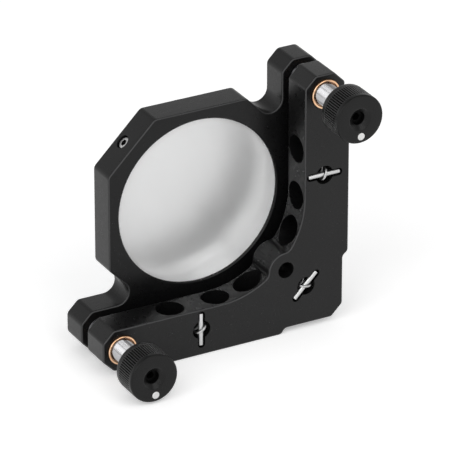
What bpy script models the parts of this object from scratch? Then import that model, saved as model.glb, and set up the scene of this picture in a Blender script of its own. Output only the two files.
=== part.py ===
"""Kinematic mirror mount for a 50.8 mm optic, as an assembly of separate pieces.

An L-shaped rear plate bolts to a post. A front plate with the optic in it sits on three balls:
a fixed pivot at the corner and the tips of two fine-pitch screws at the ends of the arms.
Three extension springs hold the plates together.

Metres, +Z up. The origin is where the post bolts on: on the bottom pad, at its middle hole.
X runs along the plates, and +Y is the way the mirror faces. The rear plate's middle is at Y = 0.
Both plates are symmetric about the diagonal through the pivot: what stands on the upright
arm at (x, z) from the optic's axis comes again on the lower arm at (-z, -x).
"""

import math

import bmesh
import bpy
from mathutils import Matrix, Vector

# Optic
OPTIC_RADIUS = 0.0254
OPTIC_THICK = 0.012
OPTIC_BEVEL = 0.0005

# Plates, seen from behind. The arms stand just clear of the optic
ARM_CLEARANCE = 0.0006
ARM_TO_PAD = 0.01395
PAD_RELIEF = 0.00165
ARM_END_MARGIN = 0.0057
REAR_THICK = 0.00965
PLATE_GAP = 0.0034
FRONT_THICK = 0.009
EDGE_BREAK = 0.00035
INNER_END_CHAMFER = 0.0033
OUTER_END_CHAMFER = 0.00335
CORNER_CHAMFER = 0.0034
PAD_HALF = 0.0182
PAD_STEP_RUN = 0.0028

# Boss round the through hole, in the crook of the rear plate
BOSS_INSET = 0.00264
BOSS_RADIUS = 0.0053
BOSS_FILLET = 0.0025
BOSS_HOLE_RADIUS = 0.0024

# Front plate's eight-sided ring: its walls outside the optic's rim, and the lip behind the optic
RING_WALL = 0.00205
CHAMFER_WALL = 0.00332
SHOULDER_WALL = 0.00467
NOTCH_RADIUS = 0.0036
LIP_OVERHANG = 0.00105
LIP_THICK = 0.0008
LIP_CHAMFER = 0.0003

# Mounting holes through each arm, counterbored from the inner side
MOUNT_STATIONS = (0.0134, -0.0006, -0.0107)
COUNTERBORE_RADIUS = 0.004
COUNTERBORE_FLOOR = 0.006
MOUNT_HOLE_RADIUS = 0.0023

# Adjusters
ADJUSTER_SPAN = 0.0627
SCREW_RADIUS = 0.003175
SCREW_TIP_STANDOUT = 0.0009
SCREW_END_CHAMFER = 0.0004
HEX_FLATS = 0.002
HEX_DEPTH = 0.003
BALL_RADIUS = 0.00238
BALL_SET_FORWARD = 0.00036
BUSHING_RADIUS = 0.0043
BUSHING_STANDOUT = 0.0007
BUSHING_CHAMFER = 0.0004
KNOB_RADIUS = 0.0071
KNOB_LENGTH = 0.0088
KNOB_STANDOFF = 0.0101
KNOB_CHAMFER = 0.0005
KNOB_WEB = 0.0022
KNOB_HOLE_RADIUS = 0.0019
KNOB_DISH_RADIUS = 0.0033
KNOB_DISH_DEPTH = 0.0008
FLUTES = 66
FLUTE_DEPTH = 0.0003
FLUTE_WIDTH = 0.0005
FLUTE_LENGTH = 0.0058
FLUTE_SETBACK = 0.0014
FLUTE_OVERCUT = 0.00008

# Ball seats in the front plate
SEAT_RADIUS = 0.0036
SEAT_THICK = 0.0034
PIVOT_BALL_RADIUS = 0.003

# Springs and their cross pins
SPRING_STATION = 0.0061
CORNER_SPRING_INSET = 0.00555
SPRING_HOLE_RADIUS = 0.0027
SPRING_RADIUS = 0.0018
WIRE_RADIUS = 0.00035
SPRING_TURNS = 8
PIN_RADIUS = 0.00065
PIN_LENGTH = 0.0097
PIN_DEPTH = 0.0014
SLOT_LENGTH = 0.0108
SLOT_WIDTH = 0.002
SIDE_HOOK_ANGLE = math.radians(68)
BOTTOM_HOOK_ANGLE = math.radians(33)
CORNER_HOOK_ANGLE = math.radians(-7)

# Optic's set screw
SET_SCREW_RADIUS = 0.0018
SET_SCREW_RECESS = 0.0003
SET_SCREW_CHAMFER = 0.00025
SET_SCREW_SOCKET = 0.001
SET_SCREW_PLANE = 0.0055
SET_TIP_RADIUS = 0.001
SET_TIP_STANDOUT = 0.0005
SET_TIP_SOCKET = 0.0006

# Clearances
SEAT_CLEARANCE = 0.0003
ROUND_CLEARANCE = 0.0002

# Facets
CHORD_ERROR = 0.00004
ROUND_STEPS = 24
BORE_STEPS = 72
BALL_SEGMENTS = 18
BALL_RINGS = 10
PIN_SIDES = 12
COIL_POINTS = 8
HOOK_POINTS = 7
MERGE = 0.00001

# Places worked out from the sizes. Offsets and distances are from the optic's axis
MIDDLE_STATION = MOUNT_STATIONS[1]
ARM_INNER = OPTIC_RADIUS + ARM_CLEARANCE
AXIS_TO_PAD = ARM_INNER + ARM_TO_PAD
ARM_OUTER = AXIS_TO_PAD - PAD_RELIEF
PIVOT_OFFSET = (ARM_INNER + ARM_OUTER) / 2
ADJUSTER_FAR = PIVOT_OFFSET - ADJUSTER_SPAN
ARM_END = ARM_END_MARGIN - ADJUSTER_FAR
BOSS_OFFSET = (ARM_INNER + BOSS_INSET) / math.sqrt(2)
CORNER_SPRING_OFFSET = PIVOT_OFFSET - CORNER_SPRING_INSET
RING_HALF = OPTIC_RADIUS + RING_WALL
CHAMFER_DISTANCE = OPTIC_RADIUS + CHAMFER_WALL
RING_CHAMFER = 2 * RING_HALF - math.sqrt(2) * CHAMFER_DISTANCE
RING_SHOULDER = math.sqrt(2) * (OPTIC_RADIUS + SHOULDER_WALL) - RING_HALF
LIP_RADIUS = OPTIC_RADIUS - LIP_OVERHANG
REAR_FACE = -REAR_THICK / 2
GAP_REAR = REAR_THICK / 2
GAP_FRONT = GAP_REAR + PLATE_GAP
FRONT_FACE = GAP_FRONT + FRONT_THICK
OPTIC_BACK = GAP_FRONT + LIP_THICK + SEAT_CLEARANCE
BORE_RADIUS = OPTIC_RADIUS + SEAT_CLEARANCE
SCREW_TIP = GAP_REAR + SCREW_TIP_STANDOUT
BALL_CENTRE = SCREW_TIP + BALL_SET_FORWARD
KNOB_FRONT = REAR_FACE - KNOB_STANDOFF
KNOB_REAR = KNOB_FRONT - KNOB_LENGTH
SCREW_REAR = KNOB_REAR + KNOB_WEB + SEAT_CLEARANCE
PIVOT_CENTRE = (GAP_REAR + GAP_FRONT) / 2
REAR_PIN = REAR_FACE + PIN_DEPTH
FRONT_PIN = FRONT_FACE - PIN_DEPTH
CORNER_DIRECTION = Vector((-1, 0, 1)).normalized()

STAND = Matrix.Rotation(math.pi / 2, 4, "X")


def reset_scene():
    for item in list(bpy.data.objects):
        bpy.data.objects.remove(item, do_unlink=True)


def new_collection(name):
    group = bpy.data.collections.new(name)
    bpy.context.scene.collection.children.link(group)
    return group


def new_material(name, colour, roughness, metallic):
    item = bpy.data.materials.new(name)
    item.use_nodes = True
    shader = item.node_tree.nodes["Principled BSDF"]
    shader.inputs["Base Color"].default_value = (*colour, 1)
    shader.inputs["Roughness"].default_value = roughness
    shader.inputs["Metallic"].default_value = metallic
    return item


def place(x, y, z):
    """World point of a place given from the optic's axis."""
    return Vector((x + MIDDLE_STATION, y, AXIS_TO_PAD + z))


def twin(x, z):
    """The place on the other arm that mirrors (x, z) in the diagonal."""
    return -z, -x


def arc(centre, radius, start, end):
    """Points of an arc, both ends included, close enough to the true curve for its radius."""
    step = 2 * math.acos(1 - CHORD_ERROR / radius)
    count = max(2, math.ceil(abs(end - start) / step))
    turns = [start + (end - start) * i / count for i in range(count + 1)]
    return [(centre[0] + radius * math.cos(t), centre[1] + radius * math.sin(t)) for t in turns]


def angle_of(origin, point):
    return math.atan2(point[1] - origin[1], point[0] - origin[0])


def with_twin_half(half):
    """Closes a half outline, whose first point may lie on the diagonal, with its mirror image."""
    mirrored = [twin(x, z) for x, z in reversed(half)]
    joined = half + mirrored
    kept = []
    for point in joined:
        if not kept or math.dist(point, kept[-1]) > MERGE:
            kept.append(point)
    if math.dist(kept[0], kept[-1]) < MERGE:
        kept.pop()
    return kept


def pad_step(from_x, to_x, from_z, to_z):
    """An S-shaped step between two parallel faces, as two arcs that meet half way."""
    rise, run = to_x - from_x, to_z - from_z
    radius = (rise**2 + run**2) / (4 * abs(rise))
    sweep = 2 * math.atan2(abs(rise), abs(run))
    side = math.copysign(1, rise)
    way = math.copysign(1, run)
    count = max(2, math.ceil(sweep / (2 * math.acos(1 - CHORD_ERROR / radius))))
    first = [
        (from_x + side * radius * (1 - math.cos(sweep * i / count)),
         from_z + way * radius * math.sin(sweep * i / count))
        for i in range(count + 1)
    ]
    second = [(from_x + to_x - x, from_z + to_z - z) for x, z in reversed(first)]
    return first + second[1:]


def arm_end():
    """The outline round the end of the upright arm, from its inner to its outer side."""
    return [
        (ARM_INNER, ARM_END - INNER_END_CHAMFER),
        (ARM_INNER + INNER_END_CHAMFER, ARM_END),
        (ARM_OUTER - OUTER_END_CHAMFER, ARM_END),
        (ARM_OUTER, ARM_END - OUTER_END_CHAMFER),
    ]


def rear_outline():
    """The L: boss, fillet and crook at the inner corner, and raised pads on the outer sides."""
    inward = math.radians(135)
    boss = (BOSS_OFFSET, -BOSS_OFFSET)
    reach = math.hypot(*boss)
    near, far = ARM_INNER - BOSS_FILLET, BOSS_RADIUS + BOSS_FILLET
    along = (near**2 - far**2 + reach**2) / (2 * reach)
    across = math.sqrt(near**2 - along**2)
    slant = 1 / math.sqrt(2)
    fillet = ((along + across) * slant, (across - along) * slant)
    boss_end = angle_of(boss, fillet)
    fillet_turn = angle_of((0, 0), fillet)
    half = arc(boss, BOSS_RADIUS, inward, boss_end)
    half += arc(fillet, BOSS_FILLET, boss_end - math.pi, fillet_turn)[1:]
    half += arc((0, 0), ARM_INNER, fillet_turn, 0)[1:]
    half += arm_end()
    half += pad_step(ARM_OUTER, AXIS_TO_PAD, PAD_HALF + PAD_STEP_RUN, PAD_HALF)
    half += pad_step(AXIS_TO_PAD, ARM_OUTER, -PAD_HALF, -PAD_HALF - PAD_STEP_RUN)
    half.append((ARM_OUTER, CORNER_CHAMFER - ARM_OUTER))
    return with_twin_half(half)


def front_outline():
    """The eight-sided ring with an ear towards each adjuster and a square corner at the pivot."""
    slope = RING_SHOULDER + RING_HALF
    notch_x = ARM_INNER - NOTCH_RADIUS
    notch = (notch_x, slope + math.sqrt(2) * NOTCH_RADIUS - notch_x)
    half = [(RING_CHAMFER - RING_HALF, RING_HALF), (RING_SHOULDER, RING_HALF)]
    half += arc(notch, NOTCH_RADIUS, math.radians(225), math.radians(360))
    half += arm_end()
    half.append((ARM_OUTER, CORNER_CHAMFER - ARM_OUTER))
    return with_twin_half(half)


def slot_outline(length, width):
    """A slot with round ends, along local X."""
    reach = (length - width) / 2
    right = arc((reach, 0), width / 2, -math.pi / 2, math.pi / 2)
    left = arc((-reach, 0), width / 2, math.pi / 2, 3 * math.pi / 2)
    return right + left


class Shop:
    """Makes objects in the part's collection and cutters in their own."""

    def __init__(self):
        self.parts = new_collection("kinematic_mirror_mount")
        self.cutters = new_collection("cutters")

    def link(self, item, material):
        if material is None:
            self.cutters.objects.link(item)
            item.hide_render = True
            item.display_type = "WIRE"
        else:
            self.parts.objects.link(item)
            item.data.materials.append(material)
        return item

    def add(self, name, mesh, material, matrix):
        item = bpy.data.objects.new(name, mesh)
        item.matrix_world = matrix
        return self.link(item, material)

    def plate(self, name, outline, thick, material, matrix):
        """A flat outline in local XY, thick along local Z, as a mesh that Booleans can cut."""
        curve = bpy.data.curves.new(name + "_outline", "CURVE")
        curve.dimensions = "2D"
        curve.fill_mode = "BOTH"
        curve.extrude = thick / 2
        spline = curve.splines.new("POLY")
        spline.points.add(len(outline) - 1)
        for point, (x, y) in zip(spline.points, outline):
            point.co = (x, y, 0, 1)
        spline.use_cyclic_u = True
        guide = bpy.data.objects.new(name + "_outline", curve)
        self.cutters.objects.link(guide)
        guide.matrix_world = matrix
        bpy.context.view_layer.update()
        graph = bpy.context.evaluated_depsgraph_get()
        mesh = bpy.data.meshes.new_from_object(guide.evaluated_get(graph))
        mesh.name = name
        body = bmesh.new()
        body.from_mesh(mesh)
        bmesh.ops.remove_doubles(body, verts=body.verts, dist=MERGE)
        for height in (-thick / 2, thick / 2):
            cap = [f for f in body.faces if all(abs(v.co.z - height) < MERGE for v in f.verts)]
            bmesh.ops.dissolve_faces(body, faces=cap)
        bmesh.ops.recalc_face_normals(body, faces=body.faces)
        body.to_mesh(mesh)
        body.free()
        item = self.add(name, mesh, material, guide.matrix_world)
        bpy.data.objects.remove(guide, do_unlink=True)
        return item

    def turned(self, name, profile, material, matrix, steps=ROUND_STEPS, closed=False):
        """A profile of (radius, height), top to bottom, turned about local Z."""
        mesh = bpy.data.meshes.new(name)
        body = bmesh.new()
        corners = [body.verts.new((radius, 0, height)) for radius, height in profile]
        for first, second in zip(corners, corners[1:]):
            body.edges.new((first, second))
        if closed:
            body.edges.new((corners[-1], corners[0]))
        body.to_mesh(mesh)
        body.free()
        item = self.add(name, mesh, material, matrix)
        screw = item.modifiers.new("turn", "SCREW")
        screw.steps = steps
        screw.render_steps = steps
        screw.use_merge_vertices = True
        screw.merge_threshold = MERGE
        screw.use_smooth_shade = True
        return item

    def ball(self, name, radius, material, matrix):
        mesh = bpy.data.meshes.new(name)
        body = bmesh.new()
        bmesh.ops.create_uvsphere(body, u_segments=BALL_SEGMENTS, v_segments=BALL_RINGS, radius=radius)
        body.to_mesh(mesh)
        body.free()
        mesh.shade_smooth()
        return self.add(name, mesh, material, matrix)

    def bar(self, name, radius, length, sides, material, matrix):
        """A round or many-sided bar along local Z, centred."""
        mesh = bpy.data.meshes.new(name)
        body = bmesh.new()
        bmesh.ops.create_cone(
            body, cap_ends=True, segments=sides, radius1=radius, radius2=radius, depth=length
        )
        body.to_mesh(mesh)
        body.free()
        mesh.set_sharp_from_angle(angle=math.radians(40))
        return self.add(name, mesh, material, matrix)

    def cut(self, item, cutter):
        step = item.modifiers.new(cutter.name, "BOOLEAN")
        step.operation = "DIFFERENCE"
        step.solver = "EXACT"
        step.object = cutter


def break_edges(item, width):
    bevel = item.modifiers.new("edge_break", "BEVEL")
    bevel.width = width
    bevel.segments = 1
    bevel.limit_method = "ANGLE"
    bevel.angle_limit = math.radians(32)
    bevel.use_clamp_overlap = False


def across_plate(x, y, z, turn=0.0):
    """Stands a local XY outline in the plates' plane, turned about Y, local +Z pointing back."""
    return Matrix.Translation(place(x, y, z)) @ STAND @ Matrix.Rotation(turn, 4, "Z")


def along(direction, point):
    """Turns local +Z to a direction, at a world point."""
    turn = Vector(direction).to_track_quat("Z", "Y").to_matrix().to_4x4()
    return Matrix.Translation(point) @ turn


def mount_hole_cutter(shop, name, arm_x, arm_z, outward):
    """Counterbore from the inner side of an arm, and a clearance hole out through its pad."""
    start = ARM_INNER / 2
    floor = AXIS_TO_PAD - COUNTERBORE_FLOOR
    end = AXIS_TO_PAD + SEAT_CLEARANCE
    profile = [
        (0, end), (MOUNT_HOLE_RADIUS, end), (MOUNT_HOLE_RADIUS, floor),
        (COUNTERBORE_RADIUS, floor), (COUNTERBORE_RADIUS, start), (0, start),
    ]
    return shop.turned(name, profile, None, along(outward, place(arm_x, 0, arm_z)))


def spring_places():
    """Each spring: name, place from the optic's axis, direction of its pins, hook angle."""
    middle = (ARM_INNER + ARM_OUTER) / 2
    low_x, low_z = twin(middle, SPRING_STATION)
    return (
        ("side", middle, SPRING_STATION, 0.0, SIDE_HOOK_ANGLE),
        ("bottom", low_x, low_z, math.pi / 2, BOTTOM_HOOK_ANGLE),
        ("corner", CORNER_SPRING_OFFSET, -CORNER_SPRING_OFFSET, math.pi / 4, CORNER_HOOK_ANGLE),
    )


def cut_spring_seats(shop, plate, label, face, pin_side):
    """A through hole for each spring and a round-ended slot for its cross pin."""
    depth = PIN_DEPTH + PIN_RADIUS + SEAT_CLEARANCE
    for name, x, z, turn, _ in spring_places():
        hole = shop.bar(
            f"{label}_{name}_spring_hole", SPRING_HOLE_RADIUS, 2 * REAR_THICK, ROUND_STEPS, None,
            across_plate(x, face - pin_side * REAR_THICK / 2, z),
        )
        shop.cut(plate, hole)
        slot = shop.plate(
            f"{label}_{name}_pin_slot", slot_outline(SLOT_LENGTH, SLOT_WIDTH), 2 * depth, None,
            across_plate(x, face, z, turn),
        )
        shop.cut(plate, slot)


def make_rear_plate(shop, black):
    plate = shop.plate(
        "rear_plate", rear_outline(), REAR_THICK, black, across_plate(0, 0, 0)
    )
    break_edges(plate, EDGE_BREAK)
    for index, station in enumerate(MOUNT_STATIONS):
        side = mount_hole_cutter(shop, f"side_mount_hole_{index}", 0, station, (1, 0, 0))
        shop.cut(plate, side)
        low = mount_hole_cutter(shop, f"bottom_mount_hole_{index}", -station, 0, (0, 0, -1))
        shop.cut(plate, low)
    bore = BUSHING_RADIUS + ROUND_CLEARANCE
    for name, x, z in adjuster_places():
        hole = shop.bar(
            f"{name}_bushing_bore", bore, 2 * REAR_THICK, ROUND_STEPS, None, across_plate(x, 0, z)
        )
        shop.cut(plate, hole)
    boss = shop.bar(
        "boss_hole", BOSS_HOLE_RADIUS, 2 * REAR_THICK, ROUND_STEPS, None,
        across_plate(BOSS_OFFSET, 0, -BOSS_OFFSET),
    )
    shop.cut(plate, boss)
    cut_spring_seats(shop, plate, "rear", REAR_FACE, -1)
    recess = PIVOT_BALL_RADIUS + SEAT_CLEARANCE
    cone_top = math.sqrt(2) * recess
    cone = shop.turned(
        "pivot_recess", [(0, cone_top), (2 * cone_top, -cone_top), (0, -cone_top)], None,
        across_plate(PIVOT_OFFSET, PIVOT_CENTRE, -PIVOT_OFFSET),
    )
    shop.cut(plate, cone)
    return plate


def adjuster_places():
    """The pitch adjuster stands above the pivot, the yaw adjuster beside it."""
    x, z = PIVOT_OFFSET, -ADJUSTER_FAR
    return (("pitch", x, z), ("yaw", *twin(x, z)))


def make_front_plate(shop, black):
    middle = (GAP_FRONT + FRONT_FACE) / 2
    plate = shop.plate(
        "front_plate", front_outline(), FRONT_THICK, black, across_plate(0, middle, 0)
    )
    break_edges(plate, EDGE_BREAK)
    over = FRONT_THICK
    lip = GAP_FRONT + LIP_THICK
    bore_profile = [
        (0, over), (LIP_RADIUS + LIP_CHAMFER + over, over),
        (LIP_RADIUS, -LIP_CHAMFER), (LIP_RADIUS, GAP_FRONT - lip),
        (BORE_RADIUS, GAP_FRONT - lip), (BORE_RADIUS, -FRONT_THICK - over),
        (0, -FRONT_THICK - over),
    ]
    bore = shop.turned(
        "optic_bore", bore_profile, None, across_plate(0, GAP_FRONT, 0), BORE_STEPS
    )
    shop.cut(plate, bore)
    cut_spring_seats(shop, plate, "front", FRONT_FACE, 1)
    for name, x, z in seat_places():
        pocket = shop.bar(
            f"{name}_pocket", SEAT_RADIUS + ROUND_CLEARANCE,
            2 * (SEAT_THICK + SEAT_CLEARANCE), ROUND_STEPS, None, across_plate(x, GAP_FRONT, z),
        )
        shop.cut(plate, pocket)
    tapped = shop.bar(
        "set_screw_hole", SET_SCREW_RADIUS + ROUND_CLEARANCE, 2 * (CHAMFER_WALL + SEAT_CLEARANCE),
        ROUND_STEPS, None, along(CORNER_DIRECTION, set_screw_point(CHAMFER_DISTANCE)),
    )
    shop.cut(plate, tapped)
    return plate


def set_screw_point(distance):
    """A point on the set screw's axis, at a distance from the optic's axis."""
    return place(0, GAP_FRONT + SET_SCREW_PLANE, 0) + CORNER_DIRECTION * distance


def seat_places():
    """Cone at the pivot, groove under the pitch screw, flat under the yaw screw."""
    (_, pitch_x, pitch_z), (_, yaw_x, yaw_z) = adjuster_places()
    return (
        ("cone_seat", PIVOT_OFFSET, -PIVOT_OFFSET),
        ("vee_seat", pitch_x, pitch_z),
        ("flat_seat", yaw_x, yaw_z),
    )


def make_seats(shop, steel):
    """Hard discs in pockets: each keeps its clearance to its ball, whatever the ball's size."""
    cone_apex = math.sqrt(2) * (PIVOT_BALL_RADIUS + SEAT_CLEARANCE) - (GAP_FRONT - PIVOT_CENTRE)
    flat_drop = BALL_CENTRE + BALL_RADIUS + SEAT_CLEARANCE - GAP_FRONT
    vee_apex = math.sqrt(2) * (BALL_RADIUS + SEAT_CLEARANCE) - (GAP_FRONT - BALL_CENTRE)
    (_, *cone_at), (_, *vee_at), (_, *flat_at) = seat_places()

    cone_profile = [
        (0, -cone_apex), (cone_apex, 0), (SEAT_RADIUS, 0), (SEAT_RADIUS, -SEAT_THICK),
        (0, -SEAT_THICK),
    ]
    shop.turned(
        "cone_seat", cone_profile, steel, across_plate(cone_at[0], GAP_FRONT, cone_at[1])
    )

    flat_profile = [
        (0, -flat_drop), (SEAT_RADIUS, -flat_drop), (SEAT_RADIUS, -SEAT_THICK), (0, -SEAT_THICK)
    ]
    shop.turned(
        "flat_seat", flat_profile, steel, across_plate(flat_at[0], GAP_FRONT, flat_at[1])
    )

    vee = shop.turned(
        "vee_seat", [(0, 0), (SEAT_RADIUS, 0), (SEAT_RADIUS, -SEAT_THICK), (0, -SEAT_THICK)],
        steel, across_plate(vee_at[0], GAP_FRONT, vee_at[1]),
    )
    reach = 2 * vee_apex
    wedge = shop.plate(
        "vee_groove", [(0, -vee_apex), (reach, reach - vee_apex), (-reach, reach - vee_apex)],
        4 * SEAT_RADIUS, None,
        across_plate(vee_at[0], GAP_FRONT, vee_at[1]) @ Matrix.Rotation(math.pi / 2, 4, "X"),
    )
    shop.cut(vee, wedge)


def make_balls(shop, steel):
    shop.ball(
        "pivot_ball", PIVOT_BALL_RADIUS, steel,
        across_plate(PIVOT_OFFSET, PIVOT_CENTRE, -PIVOT_OFFSET),
    )
    for name, x, z in adjuster_places():
        shop.ball(f"{name}_ball_tip", BALL_RADIUS, steel, across_plate(x, BALL_CENTRE, z))


def screw_profile():
    """From the socket end, at the knob, to the cup that holds the ball."""
    cup = BALL_RADIUS + ROUND_CLEARANCE
    depth = BALL_CENTRE - SCREW_TIP
    rim = math.sqrt(cup**2 - depth**2)
    end_turn = math.atan2(depth, rim)
    cup_points = arc((0, -BALL_CENTRE), cup, end_turn, math.pi / 2)
    return [
        (0, -SCREW_REAR),
        (SCREW_RADIUS - SCREW_END_CHAMFER, -SCREW_REAR),
        (SCREW_RADIUS, -SCREW_REAR - SCREW_END_CHAMFER),
        (SCREW_RADIUS, -SCREW_TIP + SCREW_END_CHAMFER),
        (max(SCREW_RADIUS - SCREW_END_CHAMFER, rim), -SCREW_TIP),
        *[(max(0, radius), height) for radius, height in cup_points],
    ]


def make_adjuster(shop, name, x, z, steel, bronze, black):
    """Bushing, screw and knob on one axis. The objects stand at the rear plate's middle."""
    axis = across_plate(x, 0, z)
    back, front = -REAR_FACE + BUSHING_STANDOUT, -GAP_REAR + SEAT_CLEARANCE
    inner = SCREW_RADIUS + ROUND_CLEARANCE
    shop.turned(
        f"{name}_bushing",
        [
            (inner + BUSHING_CHAMFER / 2, back), (BUSHING_RADIUS - BUSHING_CHAMFER, back),
            (BUSHING_RADIUS, back - BUSHING_CHAMFER), (BUSHING_RADIUS, front), (inner, front),
            (inner, back - BUSHING_CHAMFER / 2),
        ],
        bronze, axis, closed=True,
    )

    screw = shop.turned(f"{name}_screw", screw_profile(), steel, axis)
    socket = shop.bar(
        f"{name}_screw_socket", HEX_FLATS / math.sqrt(3), 2 * HEX_DEPTH, 6, None,
        across_plate(x, SCREW_REAR, z),
    )
    shop.cut(screw, socket)
    make_knob(shop, f"{name}_knob", axis, black)


def make_knob(shop, name, axis, black):
    """A turned knob, dished round its centre hole, with flutes cut between two plain bands."""
    rear, front = -KNOB_REAR, -KNOB_FRONT
    shoulder = KNOB_RADIUS - KNOB_CHAMFER
    bore = SCREW_RADIUS + ROUND_CLEARANCE
    profile = [
        (KNOB_HOLE_RADIUS, rear - KNOB_DISH_DEPTH), (KNOB_DISH_RADIUS, rear),
        (shoulder, rear), (KNOB_RADIUS, rear - KNOB_CHAMFER),
        (KNOB_RADIUS, front + KNOB_CHAMFER), (shoulder, front), (bore, front),
        (bore, rear - KNOB_WEB), (KNOB_HOLE_RADIUS, rear - KNOB_WEB),
    ]
    knob = shop.turned(name, profile, black, axis, FLUTES, closed=True)
    shop.cut(knob, flute_cutter(shop, name + "_flutes", axis))


def flute_cutter(shop, name, axis):
    """A ring of V-shaped wedges, one for each flute, standing just proud of the knob's side."""
    mesh = bpy.data.meshes.new(name)
    body = bmesh.new()
    top = -KNOB_REAR - FLUTE_SETBACK
    root, rim = KNOB_RADIUS - FLUTE_DEPTH, KNOB_RADIUS + FLUTE_OVERCUT
    half = FLUTE_WIDTH / 2 * (rim - root) / FLUTE_DEPTH
    section = ((root, 0), (rim, half), (rim, -half))
    for index in range(FLUTES):
        turn = Matrix.Rotation(2 * math.pi * index / FLUTES, 3, "Z")
        upper, lower = (
            [body.verts.new(turn @ Vector((x, y, height))) for x, y in section]
            for height in (top, top - FLUTE_LENGTH)
        )
        body.faces.new(upper)
        body.faces.new(lower)
        for first, second in ((0, 1), (1, 2), (2, 0)):
            body.faces.new((upper[first], upper[second], lower[second], lower[first]))
    bmesh.ops.recalc_face_normals(body, faces=body.faces)
    body.to_mesh(mesh)
    body.free()
    return shop.add(name, mesh, None, axis)


def spring_path(turn):
    """Centre line of an extension spring along local Z, from its rear hook to its front hook."""
    hook_gap = PIN_RADIUS + WIRE_RADIUS + ROUND_CLEARANCE
    rear_apex, front_apex = -REAR_PIN + hook_gap, -FRONT_PIN - hook_gap
    radius = SPRING_RADIUS
    rear_end, front_end = rear_apex - 2 * radius, front_apex + 2 * radius
    hook_turns = [math.pi * (index + 0.5) / HOOK_POINTS for index in range(HOOK_POINTS)]
    rear_hook = [
        (radius * math.cos(t), 0, rear_apex - radius + radius * math.sin(t)) for t in hook_turns
    ]
    front_hook = [
        (-radius * math.cos(t), 0, front_apex + radius - radius * math.sin(t)) for t in hook_turns
    ]
    count = SPRING_TURNS * COIL_POINTS + COIL_POINTS // 2
    coil = []
    for index in range(count + 1):
        angle = math.pi + 2 * math.pi * index / COIL_POINTS
        height = rear_end + (front_end - rear_end) * index / count
        coil.append((radius * math.cos(angle), radius * math.sin(angle), height))
    points = rear_hook + coil + list(reversed(front_hook))
    spin = Matrix.Rotation(turn, 3, "Z")
    return [spin @ Vector(point) for point in points]


def make_springs(shop, steel):
    for name, x, z, turn, hook in spring_places():
        curve = bpy.data.curves.new(name + "_spring", "CURVE")
        curve.dimensions = "3D"
        curve.bevel_depth = WIRE_RADIUS
        curve.bevel_resolution = 1
        curve.use_fill_caps = True
        path = spring_path(hook)
        spline = curve.splines.new("POLY")
        spline.points.add(len(path) - 1)
        for point, spot in zip(spline.points, path):
            point.co = (*spot, 1)
        item = bpy.data.objects.new(name + "_spring", curve)
        item.matrix_world = across_plate(x, 0, z)
        shop.link(item, steel)
        for side, pin_y in (("rear", REAR_PIN), ("front", FRONT_PIN)):
            matrix = across_plate(x, pin_y, z, turn) @ Matrix.Rotation(math.pi / 2, 4, "Y")
            shop.bar(f"{name}_{side}_pin", PIN_RADIUS, PIN_LENGTH, PIN_SIDES, steel, matrix)


def make_mirror(shop, glass):
    front = -OPTIC_THICK
    profile = [
        (0, 0), (OPTIC_RADIUS - OPTIC_BEVEL, 0), (OPTIC_RADIUS, -OPTIC_BEVEL),
        (OPTIC_RADIUS, front + OPTIC_BEVEL), (OPTIC_RADIUS - OPTIC_BEVEL, front), (0, front),
    ]
    shop.turned("mirror", profile, glass, across_plate(0, OPTIC_BACK, 0), BORE_STEPS)


def make_set_screw(shop, steel, nylon):
    """A socket screw in the corner chamfer, with a soft tip in its end, against the rim."""
    tip_end = OPTIC_RADIUS + SEAT_CLEARANCE
    body_end = tip_end + SET_TIP_STANDOUT
    body_top = CHAMFER_DISTANCE - SET_SCREW_RECESS
    socket = SET_TIP_RADIUS + ROUND_CLEARANCE
    profile = [
        (0, body_top), (SET_SCREW_RADIUS - SET_SCREW_CHAMFER, body_top),
        (SET_SCREW_RADIUS, body_top - SET_SCREW_CHAMFER), (SET_SCREW_RADIUS, body_end),
        (socket, body_end), (socket, body_end + SET_TIP_SOCKET), (0, body_end + SET_TIP_SOCKET),
    ]
    matrix = along(CORNER_DIRECTION, set_screw_point(0))
    screw = shop.turned("optic_setscrew", profile, steel, matrix)
    hexagon = shop.bar(
        "optic_setscrew_socket", HEX_FLATS / math.sqrt(3), 2 * SET_SCREW_SOCKET, 6, None,
        along(CORNER_DIRECTION, set_screw_point(body_top)),
    )
    shop.cut(screw, hexagon)
    tip_top = body_end + SET_TIP_SOCKET - ROUND_CLEARANCE
    shop.turned(
        "setscrew_tip",
        [(0, tip_top), (SET_TIP_RADIUS, tip_top), (SET_TIP_RADIUS, tip_end), (0, tip_end)],
        nylon, matrix,
    )


def build():
    reset_scene()
    shop = Shop()
    black = new_material("black_anodised", (0.022, 0.022, 0.023), 0.45, 0.6)
    knob_black = new_material("knob_black", (0.02, 0.02, 0.02), 0.5, 0.3)
    steel = new_material("stainless_steel", (0.62, 0.62, 0.61), 0.28, 1.0)
    spring_steel = new_material("spring_steel", (0.6, 0.6, 0.6), 0.3, 1.0)
    hard_steel = new_material("hardened_steel", (0.5, 0.5, 0.51), 0.15, 1.0)
    bronze = new_material("bronze", (0.62, 0.36, 0.2), 0.3, 1.0)
    glass = new_material("mirror_optic", (0.75, 0.76, 0.77), 0.35, 0.1)
    nylon = new_material("nylon", (0.85, 0.84, 0.8), 0.5, 0.0)
    make_rear_plate(shop, black)
    make_front_plate(shop, black)
    make_mirror(shop, glass)
    make_set_screw(shop, steel, nylon)
    make_seats(shop, hard_steel)
    make_balls(shop, hard_steel)
    for name, x, z in adjuster_places():
        make_adjuster(shop, name, x, z, steel, bronze, knob_black)
    make_springs(shop, spring_steel)


build()
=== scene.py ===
"""Looks of the kinematic mirror mount: black anodised plates, bright steel and bronze, and a glass
optic with a satin back.

Metres, +Z up. Places are given from the optic's axis, seen from behind. What stands on the upright
arm at (x, z) comes again on the lower arm at (-z, -x).
"""

import math

import bmesh
import bpy
from mathutils import Matrix, Vector


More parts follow.
